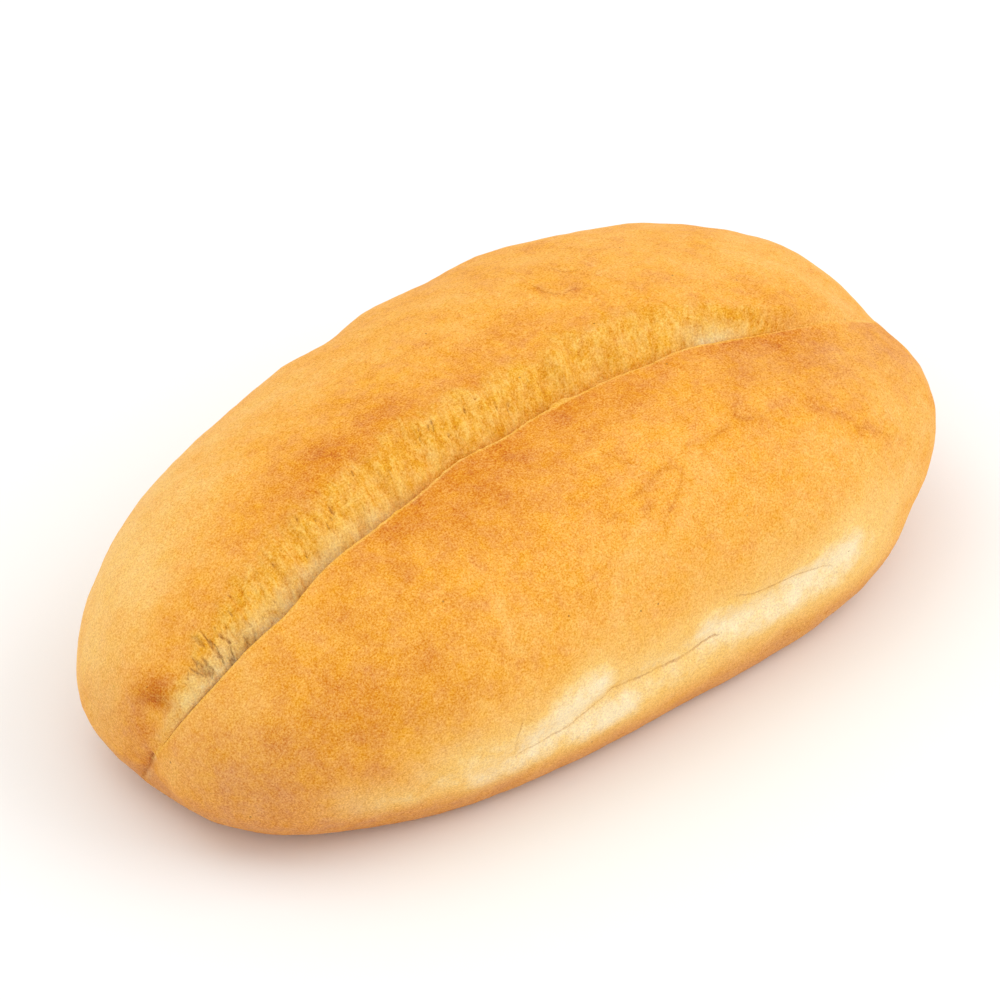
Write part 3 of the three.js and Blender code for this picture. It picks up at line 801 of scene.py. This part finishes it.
# soft unevenness of the crust
def crustRise(tree, given, held):
    position = addNode(tree, "GeometryNodeInputPosition")
    rise = addNode(tree, "ShaderNodeValue")
    rise.default_value = 0.0
    for name in ("Lump", "Dimple"):
        scale = addNode(tree, "ShaderNodeMath", {"operation": "DIVIDE", 0: 1.0}, {1: given[name + " Size"]})
        noise = addNode(tree, "ShaderNodeTexNoise", reliefNoise["crust"],
                        {"Vector": position, "W": given["Seed"], "Scale": scale})
        swing = addNode(tree, "ShaderNodeMath", {"operation": "SUBTRACT", 1: noiseMiddle}, {0: noise})
        loose = addNode(tree, "ShaderNodeMath", {"operation": "MULTIPLY"}, {0: swing, 1: held["loose"]})
        rise = addNode(tree, "ShaderNodeMath", {"operation": "MULTIPLY_ADD"},
                       {0: loose, 1: given[name + " Height"], 2: rise})
    return rise


# noise stretched across the tear, its middle moved to 0
def tornNoise(tree, given, held):
    stretched = {}
    tearAt = addNode(tree, "ShaderNodeCombineXYZ", (), {0: held["strandAt"], 1: held["acrossAt"]})
    for name in ("Strand", "Fibre", "Pit", "Edge"):
        size = addNode(tree, "ShaderNodeCombineXYZ", {2: 1.0},
                       {0: given[name + " Pitch"], 1: given[name + " Length"]})
        at = addNode(tree, "ShaderNodeVectorMath", {"operation": "DIVIDE"}, {0: tearAt, 1: size})
        noise = addNode(tree, "ShaderNodeTexNoise", reliefNoise["torn"], {"Vector": at, "W": given["Seed"]})
        stretched[name] = addNode(tree, "ShaderNodeMath", {"operation": "SUBTRACT", 1: noiseMiddle},
                                  {0: noise})
    return stretched


# how much of the surface is torn: the upper edge of the tear wanders and frays out along the strands
def tornShare(tree, given, held, stretched):
    edgeAt = held["edgeGap"]
    for name, size in (("Edge", "Edge Wander"), ("Strand", "Edge Fray")):
        reach = addNode(tree, "ShaderNodeMath", {"operation": "MULTIPLY"},
                        {0: given[size], 1: held["edgeRoom"]})
        edgeAt = addNode(tree, "ShaderNodeMath", {"operation": "MULTIPLY_ADD"},
                         {0: stretched[name], 1: reach, 2: edgeAt})
    soft = addNode(tree, "ShaderNodeMath", {"operation": "MULTIPLY"},
                   {0: given["Edge Softness"], 1: held["edgeRoom"]})
    soft = addNode(tree, "ShaderNodeMath", {"operation": "MAXIMUM"}, {0: soft, 1: given["Edge Least"]})
    inside = addNode(tree, "ShaderNodeMath", {"operation": "DIVIDE"}, {0: edgeAt, 1: soft})
    torn = addNode(tree, "ShaderNodeMapRange", {"interpolation_type": "SMOOTHSTEP", "From Min": -1.0},
                   {"Value": inside})
    shown = addNode(tree, "ShaderNodeMapRange", {"From Max": reliefShares["tornOpen"]},
                    {"Value": held["open"]})
    return addNode(tree, "ShaderNodeMath", {"operation": "MULTIPLY"}, {0: torn, 1: shown})


def pitShare(tree, held, stretched, torn):
    often = addNode(tree, "ShaderNodeMath", {"operation": "MULTIPLY_ADD", 1: reliefShares["pitOften"]},
                    {0: held["pitting"], 2: stretched["Pit"]})
    pitFrom, pitTo = reliefShares["pitRun"]
    hole = addNode(tree, "ShaderNodeMapRange",
                   {"interpolation_type": "SMOOTHSTEP", "From Min": pitFrom, "From Max": pitTo},
                   {"Value": often})
    return addNode(tree, "ShaderNodeMath", {"operation": "MULTIPLY"}, {0: hole, 1: torn})


# strands and fibres stand up from the torn face, pits go into it, all fading where the score closes
def addTornRise(tree, given, held, stretched, torn, pit, rise):
    tornRise = addNode(tree, "ShaderNodeMath", {"operation": "MULTIPLY"},
                       {0: stretched["Strand"], 1: given["Strand Height"]})
    tornRise = addNode(tree, "ShaderNodeMath", {"operation": "MULTIPLY_ADD"},
                       {0: stretched["Fibre"], 1: given["Fibre Height"], 2: tornRise})
    tornRise = addNode(tree, "ShaderNodeMath", {"operation": "SUBTRACT"},
                       {0: tornRise, 1: given["Crust Thickness"]})
    sunk = addNode(tree, "ShaderNodeMath", {"operation": "MULTIPLY"}, {0: pit, 1: given["Pit Depth"]})
    tornRise = addNode(tree, "ShaderNodeMath", {"operation": "SUBTRACT"}, {0: tornRise, 1: sunk})
    riseFrom, riseTo = reliefShares["riseOpen"]
    fade = addNode(tree, "ShaderNodeMapRange", {"From Min": riseFrom, "From Max": riseTo},
                   {"Value": held["open"]})
    share = addNode(tree, "ShaderNodeMath", {"operation": "MULTIPLY"}, {0: torn, 1: fade})
    return addNode(tree, "ShaderNodeMath", {"operation": "MULTIPLY_ADD"}, {0: tornRise, 1: share, 2: rise})


def reliefTree(finish):
    tree = bpy.data.node_groups.new("crustRelief", "GeometryNodeTree")
    tree.interface.new_socket("Geometry", in_out="INPUT", socket_type="NodeSocketGeometry")
    for name in list(relief) + ["Seed"]:
        tree.interface.new_socket(name, in_out="INPUT", socket_type="NodeSocketFloat")
    tree.interface.new_socket("Geometry", in_out="OUTPUT", socket_type="NodeSocketGeometry")
    given = addNode(tree, "NodeGroupInput").node.outputs
    held = {name: addNode(tree, "GeometryNodeInputNamedAttribute", {"data_type": "FLOAT", "Name": name})
            for name in reliefMasks}
    outward = addNode(tree, "GeometryNodeInputNamedAttribute",
                      {"data_type": "FLOAT_VECTOR", "Name": "outward"})
    stretched = tornNoise(tree, given, held)
    torn = tornShare(tree, given, held, stretched)
    pit = pitShare(tree, held, stretched, torn)
    rise = addTornRise(tree, given, held, stretched, torn, pit, crustRise(tree, given, held))
    offset = addNode(tree, "ShaderNodeVectorMath", {"operation": "SCALE"}, {0: outward, "Scale": rise})

    # the finish reads how far a strand stands up, with the noise's own middle, to paint shade in the valleys
    # and highlight on the tops
    strandRise = addNode(tree, "ShaderNodeMath", {"operation": "ADD"},
                         {0: stretched["Strand"], 1: stretched["Fibre"]})
    strandRise = addNode(tree, "ShaderNodeMath", {"operation": "ADD", 1: noiseMiddle}, {0: strandRise})
    body = given["Geometry"]
    for name, value in (("torn", torn), ("strandRise", strandRise), ("pit", pit)):
        body = addNode(tree, "GeometryNodeStoreNamedAttribute",
                       {"data_type": "FLOAT", "domain": "POINT", "Name": name},
                       {"Geometry": body, "Value": value})
    moved = addNode(tree, "GeometryNodeSetPosition", (), {"Geometry": body, "Offset": offset})
    whole = addNode(tree, "GeometryNodeRealizeInstances", (), {"Geometry": moved})
    finished = addNode(tree, "GeometryNodeSetMaterial", {"Material": finish}, {"Geometry": whole})
    addNode(tree, "NodeGroupOutput", (), {"Geometry": finished})
    return tree


def makeRoll():
    finish = crustMaterial()
    raw = bpy.data.objects.new("breadRollRaw", rollMesh())
    bpy.context.scene.collection.objects.link(raw)
    modifier = raw.modifiers.new("crustRelief", "NODES")
    modifier.node_group = reliefTree(finish)
    for item in modifier.node_group.interface.items_tree:
        if item.in_out == "INPUT" and item.name in relief:
            modifier[item.identifier] = relief[item.name] * mm
        elif item.in_out == "INPUT" and item.name == "Seed":
            modifier[item.identifier] = reliefSeed
    graph = bpy.context.evaluated_depsgraph_get()
    shaped = raw.evaluated_get(graph)
    mesh = bpy.data.meshes.new_from_object(shaped, preserve_all_data_layers=True, depsgraph=graph)
    mesh.name = "breadRoll"
    raw.modifiers.remove(modifier)
    bpy.data.objects.remove(raw)
    roll = bpy.data.objects.new("breadRoll", mesh)
    bpy.context.scene.collection.objects.link(roll)
    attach(roll, "root")
    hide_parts("bread_roll")
    print("roll finished:", len(mesh.polygons), "faces")


makeRoll()

# pale floor a hair under the roll, soft light from all round with a little more from above, camera at the
# photo's angle; lengths in metres, the floor's drop and the camera's aim in mm
studio = {
    "floorSize": 6.0, "floorDrop": 0.05, "floorColour": "#f4f3f1", "floorRoughness": 0.9,
    "skyColour": "#ffffff", "skyStrength": 0.97,
    "lamps": [  # place, size, watts
        ((0.7, -0.6, 0.9), 0.9, 4.0),
        ((-0.3, 0.5, 1.2), 0.9, 2.5),
    ],
    "azimuth": -41.29, "elevation": 40.0, "distance": 1.0, "lens": 245.2, "sensor": 36,
    "aim": (0, 0, 20), "aimRight": -0.11, "aimUp": 0.57,
}


def makeStudio():
    scene = bpy.context.scene
    size = studio["floorSize"] / 2
    sheet = bpy.data.meshes.new("floor")
    under = -studio["floorDrop"] * mm
    corners = [(-size, -size, under), (size, -size, under), (size, size, under), (-size, size, under)]
    sheet.from_pydata(corners, [], [(0, 1, 2, 3)])
    floor = bpy.data.objects.new("floor", sheet)
    scene.collection.objects.link(floor)
    paint = bpy.data.materials.new("mattFloorPaint")
    paint.use_nodes = True
    coat = paint.node_tree.nodes["Principled BSDF"].inputs
    coat["Base Color"].default_value = hexToLinear(studio["floorColour"])
    coat["Roughness"].default_value = studio["floorRoughness"]
    sheet.materials.append(paint)

    world = bpy.data.worlds.new("studioSky")
    world.use_nodes = True
    sky = world.node_tree.nodes["Background"].inputs
    sky["Color"].default_value = hexToLinear(studio["skyColour"])
    sky["Strength"].default_value = studio["skyStrength"]
    scene.world = world
    aim = Vector(studio["aim"]) * mm
    for i, (spot, width, watts) in enumerate(studio["lamps"]):
        light = bpy.data.lights.new("softbox%d" % i, "AREA")
        light.size = width
        light.energy = watts
        lamp = bpy.data.objects.new("softbox%d" % i, light)
        lamp.location = spot
        lamp.rotation_euler = (aim - Vector(spot)).to_track_quat("-Z", "Y").to_euler()
        scene.collection.objects.link(lamp)

    turn, rise = math.radians(studio["azimuth"]), math.radians(studio["elevation"])
    back = Vector((math.sin(turn) * math.cos(rise), -math.cos(turn) * math.cos(rise), math.sin(rise)))
    right = Vector((math.cos(turn), math.sin(turn), 0))
    aim += (right * studio["aimRight"] + back.cross(right) * studio["aimUp"]) * mm
    lens = bpy.data.cameras.new("camera")
    lens.lens = studio["lens"]
    lens.sensor_width = studio["sensor"]
    camera = bpy.data.objects.new("camera", lens)
    camera.location = aim + back * studio["distance"]
    camera.rotation_euler = back.to_track_quat("Z", "Y").to_euler()
    scene.collection.objects.link(camera)
    scene.camera = camera
    scene.view_settings.view_transform = "Standard"
    print("studio ready")


makeStudio()
